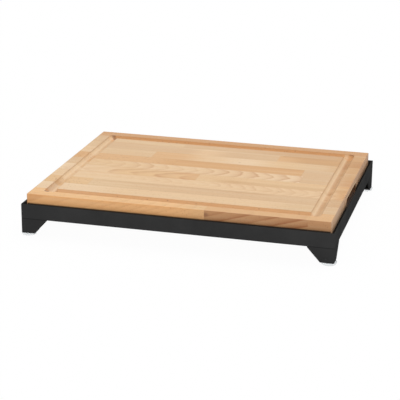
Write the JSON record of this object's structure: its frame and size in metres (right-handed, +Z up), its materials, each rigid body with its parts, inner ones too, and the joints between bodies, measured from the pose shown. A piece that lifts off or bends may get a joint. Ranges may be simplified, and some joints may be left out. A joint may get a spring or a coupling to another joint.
{
  "type": "carving board",
  "caption": "Wooden carving board with a juice groove, lying loose in a low black steel frame on corner legs with clear bumpers.",
  "frame": {"origin": "on the table, under the middle of the frame", "axes": "+X along the long side, +Y towards the back, +Z up"},
  "size_m": [0.529, 0.415, 0.0695],
  "materials": {
    "beech": "planed and oiled beech, edge glued, side grain up",
    "black_steel": "fine satin black powder coat on steel angle",
    "clear_bumper": "clear soft polyurethane"
  },
  "bodies": {
    "frame": {"back_rail": "black_steel", "bumper_back_left": "clear_bumper", "bumper_back_right": "clear_bumper", "bumper_front_left": "clear_bumper", "bumper_front_right": "clear_bumper", "foot_plate_back_left": "black_steel", "foot_plate_back_right": "black_steel", "foot_plate_front_left": "black_steel", "foot_plate_front_right": "black_steel", "front_rail": "black_steel", "left_rail": "black_steel", "leg_back_left": "black_steel", "leg_back_right": "black_steel", "leg_front_left": "black_steel", "leg_front_right": "black_steel", "right_rail": "black_steel"},
    "board": {"stave_01_1": "beech", "stave_01_2": "beech", "stave_01_3": "beech", "stave_02_1": "beech", "stave_03_1": "beech", "stave_03_2": "beech", "stave_04_1": "beech", "stave_05_1": "beech", "stave_05_2": "beech", "stave_06_1": "beech", "stave_06_2": "beech", "stave_07_1": "beech", "stave_07_2": "beech", "stave_07_3": "beech", "stave_08_1": "beech", "stave_08_2": "beech", "stave_09_1": "beech", "stave_09_2": "beech", "stave_09_3": "beech", "stave_10_1": "beech", "stave_10_2": "beech", "stave_11_1": "beech"}
  },
  "joints": [
    {"name": "board_lift", "type": "slide", "parent": "frame", "child": "board", "axis": [0, 0, 1], "range_m": [0, 0.06]}
  ]
}
